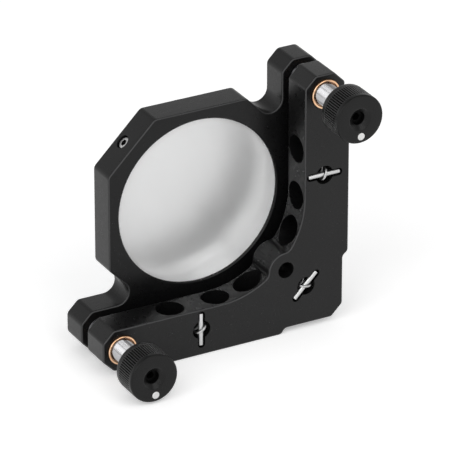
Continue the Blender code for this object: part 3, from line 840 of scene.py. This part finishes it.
def make_screw(name, axis, steel, shade_black):
    """A threaded screw with a hex socket in its rear end and a cup for the ball in its tip."""
    low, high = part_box(name + "_screw")
    ball, ball_y = half_width(name + "_ball_tip"), centre(name + "_ball_tip").y
    top, tip = -low.y, -high.y
    cup = ball + CUP_CLEARANCE
    depth = ball_y - high.y
    lip = math.sqrt(cup**2 - depth**2)
    corners = soften([
        (0, top, 0), (SCREW_RADIUS, top, SCREW_REAR_EDGE), (SCREW_RADIUS, tip, SCREW_TIP_EDGE),
        (lip, tip, 0),
    ])
    middle = len(corners) // 2
    thread_top = THREAD_IN_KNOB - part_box(name + "_knob")[1].y
    thread_end = -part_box(name + "_bushing")[0].y - THREAD_IN_BUSHING
    rows = corners[:middle] + thread_rows(thread_top, thread_end) + corners[middle:]
    cup_rows = arc((0, -ball_y), cup, math.atan2(depth, lip), math.pi / 2)[1:]
    rows += [(max(0, radius), height) for radius, height in cup_rows]
    screw = lathe(name + "_screw_shank", rows, THREAD_STEPS, axis, None, THREAD_SHAPE)
    end = looking_back(Vector((axis.translation.x, low.y, axis.translation.z)))
    carve(screw, [bar(HEX_FLATS / math.sqrt(3), 2 * HEX_DEPTH, end, 6)], steel)
    # The screw's rear end and its socket, deep in the knob's hole, take the painted shade.
    recolour(screw, shade_black, lambda face: face.center.z > top - HEX_DEPTH - FACE_MARGIN)
    finish_piece(screw, name + "_adjuster", "stainless_steel", name + "_screw")


def make_adjuster(name, bronze, steel, black, shade_black, paint):
    """A bushing, and the screw, ball and knob that move in it."""
    spot = centre(name + "_bushing")
    spot.y = 0
    axis = looking_back(spot)
    make_bushing(name, axis, bronze)
    make_screw(name, axis, steel, shade_black)
    make_ball(name + "_ball", name + "_ball_tip", name + "_tip", steel)
    make_knob(name, black, shade_black, paint)


def make_knob(name, black, shade_black, paint):
    """A turned knob with V flutes between two plain bands, dished round its centre hole."""
    low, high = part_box(name + "_knob")
    spot = centre(name + "_knob")
    spot.y = low.y
    radius, length = (high.z - low.z) / 2, high.y - low.y
    hole, bore = KNOB_HOLE_RADIUS, KNOB_BORE_RADIUS
    start = -FLUTE_SETBACK
    end = start - FLUTE_LENGTH
    rear = soften([
        (hole, -KNOB_DISH_DEPTH, KNOB_HOLE_EDGE), (KNOB_DISH_RADIUS, 0, KNOB_DISH_EDGE),
        (radius, 0, KNOB_EDGE), (radius, start, 0), (hole, start, 0),
    ])[:-1]
    front = soften([
        (bore, end, 0), (radius, end, 0), (radius, -length, KNOB_EDGE),
        (bore, -length, KNOB_BORE_EDGE), (bore, -KNOB_WEB, 0), (hole, -KNOB_WEB, 0),
    ])[1:]
    fluted = [
        (radius, start - FLUTE_RUNOUT, FLUTE_DEPTH, 0),
        (radius, end + FLUTE_RUNOUT, FLUTE_DEPTH, 0),
    ]
    rows, steps = rear + fluted + front, FLUTES * len(FLUTE_SHAPE)
    knob = lathe(name + "_knob_grip", rows, steps, looking_back(spot), black, FLUTE_SHAPE)

    def in_flute(face):
        spot = face.center
        return end < spot.z < start and spot.xy.length < radius - FLUTE_DEPTH / 2

    # The flutes' bottoms take the painted shade.
    recolour(knob, shade_black, in_flute)
    finish_piece(knob, name + "_adjuster", "knob_black", name + "_knob")

    rows = [
        (0, DOT_THICK), (DOT_RADIUS * 0.8, DOT_THICK), (DOT_RADIUS * 0.95, DOT_THICK * 0.7),
        (DOT_RADIUS, TINY), (0, TINY),
    ]
    middle = looking_back(spot + Vector((DOT_RIGHT, 0, -DOT_DOWN)))
    dot = lathe(name + "_knob_dot", rows, SMALL_STEPS, middle, paint)
    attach(dot, name + "_adjuster")


# Springs and pins


def pin_centre(node):
    """A pin lies almost flush with the plate's outer face."""
    spot = centre(node)
    spot.y = REAR_FACE + PIN_INSET if spot.y < GAP_MIDDLE else FRONT_FACE - PIN_INSET
    return spot


def spring_path(name):
    """Centre line from the rear hook to the front hook, in world places."""
    rear, front = pin_centre(name + "_rear_pin"), pin_centre(name + "_front_pin")
    gap = PIN_RADIUS + WIRE_RADIUS
    radius = SPRING_RADIUS
    turn = math.radians(HOOK_ANGLES[name])
    rear_top, front_top = rear.y - gap, front.y + gap
    rear_coil, front_coil = rear_top + HOOK_HEIGHT, front_top - HOOK_HEIGHT
    hook_turns = [math.pi * i / HOOK_STEPS for i in range(HOOK_STEPS + 1)]
    points = [
        (radius * math.cos(t), rear_top + radius - radius * math.sin(t), 0) for t in hook_turns
    ]
    count = round(SPRING_TURNS * COIL_STEPS)
    for i in range(count + 1):
        angle = math.pi + 2 * math.pi * i / COIL_STEPS
        y = rear_coil + (front_coil - rear_coil) * i / count
        points.append((radius * math.cos(angle), y, radius * math.sin(angle)))
    last = 1 if math.cos(math.pi + 2 * math.pi * SPRING_TURNS) > 0 else -1
    points += [
        (last * radius * math.cos(t), front_top - radius + radius * math.sin(t), 0)
        for t in hook_turns
    ]
    cosine, sine = math.cos(turn), math.sin(turn)
    return [
        Vector((rear.x + x * cosine - z * sine, y, rear.z + x * sine + z * cosine))
        for x, y, z in points
    ]


def eased(points):
    """Rounds a path's bends by cutting its corners."""
    for _ in range(EASING_ROUNDS):
        cut = [points[0]]
        for first, second in zip(points, points[1:]):
            cut += [first.lerp(second, 0.25), first.lerp(second, 0.75)]
        points = cut + [points[-1]]
    return points[::2] + [points[-1]]


def wire(name, path, material):
    """A round wire along a path, as a mesh."""
    curve = bpy.data.curves.new(name, "CURVE")
    curve.dimensions = "3D"
    curve.bevel_depth = WIRE_RADIUS
    curve.bevel_resolution = 4
    curve.use_fill_caps = True
    spline = curve.splines.new("POLY")
    spline.points.add(len(path) - 1)
    for point, spot in zip(spline.points, path):
        point.co = (*spot, 1)
    guide = bpy.data.objects.new(name + "_guide", curve)
    bpy.context.scene.collection.objects.link(guide)
    graph = bpy.context.evaluated_depsgraph_get()
    mesh = bpy.data.meshes.new_from_object(guide.evaluated_get(graph))
    bpy.data.objects.remove(guide, do_unlink=True)
    mesh.materials.clear()
    mesh.materials.append(material)
    item = bpy.data.objects.new(name, mesh)
    bpy.context.scene.collection.objects.link(item)
    shade(item, WIRE_SHARP_ANGLE)
    return item


def make_spring(name, wire_steel, pin_steel):
    """Two halves that meet between the plates, each with the pin that its hook is on."""
    path = eased(spring_path(name))
    split = min(range(len(path)), key=lambda i: abs(path[i].y - GAP_MIDDLE))
    rear_end, front_end = centre(name + "_rear_pin"), centre(name + "_front_pin")
    middle = Vector((rear_end.x, GAP_MIDDLE, rear_end.z))
    halves = (
        ("rear", path[:split + 1], "base", "pivot", rear_end, middle),
        ("front", path[split:], "pivot", "stage", middle, front_end),
    )
    for side, part, first, second, start, end in halves:
        half = wire(f"{name}_spring_{side}", part, wire_steel)
        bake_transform(half)
        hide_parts(name + "_spring")
        body = "base" if side == "rear" else "stage"
        make_pin(f"{name}_{side}_pin", PIN_TURNS[name], body, pin_steel)


def make_pin(node, turn, body, steel):
    low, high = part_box(node)
    direction = Vector((math.cos(math.radians(turn)), 0, math.sin(math.radians(turn))))
    spread = max(high.x - low.x, high.z - low.z)
    half = spread / 2 if turn != 45 else spread / math.sqrt(2) - (high.y - low.y) / 2
    corners = [
        (0, half, 0), (PIN_RADIUS, half, PIN_EDGE), (PIN_RADIUS, -half, PIN_EDGE), (0, -half, 0)
    ]
    matrix = facing(direction, pin_centre(node))
    item = lathe(node + "_rod", soften(corners), SMALL_STEPS, matrix, steel)
    finish_piece(item, body, "stainless_steel", node)


# Stage


def make_camera():
    """The photograph's camera."""
    across = Vector((math.cos(CAMERA_TURN), math.sin(CAMERA_TURN), 0))
    back = Vector((
        math.sin(CAMERA_TURN) * math.cos(CAMERA_TILT),
        -math.cos(CAMERA_TURN) * math.cos(CAMERA_TILT),
        math.sin(CAMERA_TILT),
    ))
    up = back.cross(across)
    spot = place(0, GAP_FRONT, 0)
    spot += back * CAMERA_DISTANCE + across * CAMERA_RIGHT + up * CAMERA_UP
    data = bpy.data.cameras.new("camera")
    data.lens = LENS_MM
    data.clip_end = 10
    camera = bpy.data.objects.new("camera", data)
    turn = Matrix((across, up, back)).transposed().to_4x4()
    camera.matrix_world = Matrix.Translation(spot) @ turn
    bpy.context.scene.collection.objects.link(camera)
    bpy.context.scene.camera = camera


def seen_directly(tree):
    """1 for what the camera, metal and glass see, and 0 for light that falls on other surfaces."""
    path = tree.nodes.new("ShaderNodeLightPath")
    seen = path.outputs["Is Camera Ray"]
    for kind in ("Is Glossy Ray", "Is Transmission Ray"):
        either = tree.nodes.new("ShaderNodeMath")
        either.operation = "MAXIMUM"
        tree.links.new(seen, either.inputs[0])
        tree.links.new(path.outputs[kind], either.inputs[1])
        seen = either.outputs[0]
    return seen


def make_world():
    """A grey room that the camera, metal and glass see as white walls and a dimmer ceiling."""
    world = bpy.data.worlds.new("studio")
    world.use_nodes = True
    bpy.context.scene.world = world
    tree = world.node_tree
    room = tree.nodes["Background"]
    room.inputs["Color"].default_value = (1, 1, 1, 1)
    room.inputs["Strength"].default_value = ROOM_STRENGTH
    backdrop = tree.nodes.new("ShaderNodeBackground")
    backdrop.inputs["Color"].default_value = (1, 1, 1, 1)
    way = tree.nodes.new("ShaderNodeSeparateXYZ")
    tree.links.new(tree.nodes.new("ShaderNodeTexCoord").outputs["Generated"], way.inputs[0])
    ceiling = tree.nodes.new("ShaderNodeMapRange")
    ceiling.inputs["From Min"].default_value = WALL_HEIGHT
    ceiling.inputs["From Max"].default_value = CEILING_HEIGHT
    ceiling.inputs["To Min"].default_value = WALL_STRENGTH
    ceiling.inputs["To Max"].default_value = CEILING_STRENGTH
    tree.links.new(way.outputs["Z"], ceiling.inputs["Value"])
    tree.links.new(ceiling.outputs["Result"], backdrop.inputs["Strength"])
    mix = tree.nodes.new("ShaderNodeMixShader")
    tree.links.new(seen_directly(tree), mix.inputs[0])
    tree.links.new(room.outputs[0], mix.inputs[1])
    tree.links.new(backdrop.outputs[0], mix.inputs[2])
    tree.links.new(mix.outputs[0], tree.nodes["World Output"].inputs[0])


def make_lamp(name, away, size, watts):
    """A round lamp that stands off the part and faces it."""
    data = bpy.data.lights.new(name, "AREA")
    data.shape = "DISK"
    data.size = size
    data.energy = watts
    lamp = bpy.data.objects.new(name, data)
    lamp.matrix_world = facing(away, place(0, 0, 0) + Vector(away))
    bpy.context.scene.collection.objects.link(lamp)


def make_paper():
    """White paper. The camera, metal and glass see it brighter, so that only shadows show."""
    finish = Finish("floor_paper", (0.95, 0.95, 0.95), 0.9, specular=0.1)
    finish.on_shader("Roughness", finish.between(finish.noise(300, 3), 0.85, 0.95))
    finish.on_shader("Emission Color", (1, 1, 1, 1))
    glow = finish.maths("MULTIPLY", seen_directly(finish.tree), PAPER_GLOW)
    finish.on_shader("Emission Strength", glow)
    return finish.material


def make_floor():
    body = bmesh.new()
    corners = [(-1, -1, 0), (1, -1, 0), (1, 1, 0), (-1, 1, 0)]
    body.faces.new([body.verts.new(PAPER_REACH * Vector(corner)) for corner in corners])
    new_object("floor", body, make_paper())


def make_parts():
    rear_black = make_anodised("black_anodised", 0.28, False)
    # The edge copies carry a painted highlight on the rounding.
    rear_edge_highlight = make_anodised("anodised_painted_highlight", 0.28, True)
    # The front plate's copies reflect less than the rear plate's, as painted shade.
    front_painted_shade = make_anodised("anodised_front_painted_shade", 0.225, False)
    front_shade_and_edge_highlight = make_anodised("anodised_front_painted_shade_and_highlight", 0.225, True)
    black = make_knob_black()
    shade_black = make_painted_shade_black()
    steel = make_steel("stainless_steel", (0.46, 0.46, 0.47), 0.2, (1, 1, 0.05))
    # The pins' steel is strongly streaked along its length: partly drawn grain, partly painted
    # reflection lines.
    pin_steel = make_steel("ground_steel_painted_streaks", (0.82, 0.82, 0.82), 0.3, (1, 1, 0.02), 0.4)
    wire_steel = make_steel("spring_steel", (0.5, 0.5, 0.5), 0.3, (1, 1, 1))
    hard_steel = make_steel("hardened_steel", (0.4, 0.4, 0.41), 0.3, (1, 1, 1))
    bronze = make_bronze()
    paint = make_plain("dot_paint", (0.72, 0.72, 0.71), (0.82, 0.82, 0.81))
    nylon = make_plain("nylon", (0.78, 0.77, 0.73), (0.86, 0.85, 0.81))
    make_rear_plate(rear_black, rear_edge_highlight)
    make_front_plate(front_painted_shade, front_shade_and_edge_highlight)
    coating = make_coating("mirror_coating", (0.95, 0.955, 0.955))
    front = make_coating("mirror_front", (0.74, 0.77, 0.8))
    make_mirror(make_satin_glass(), make_ground_rim(), coating, front)
    make_set_screw(pin_steel, black)
    make_ball("pivot_ball_body", "pivot_ball", "pivot", hard_steel)
    for name in ADJUSTERS:
        make_adjuster(name, bronze, steel, black, shade_black, paint)
    for name in HOOK_ANGLES:
        make_spring(name, wire_steel, pin_steel)
    seats = dict.fromkeys(("cone_seat", "vee_seat", "flat_seat"), hard_steel)
    for node, material in {"setscrew_tip": nylon, **seats}.items():
        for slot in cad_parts[node].material_slots:
            slot.material = material


make_camera()
make_world()
make_floor()
for lamp_name, lamp_values in LAMPS.items():
    make_lamp(lamp_name, *lamp_values)
make_parts()
bpy.context.scene.view_settings.view_transform = "Standard"
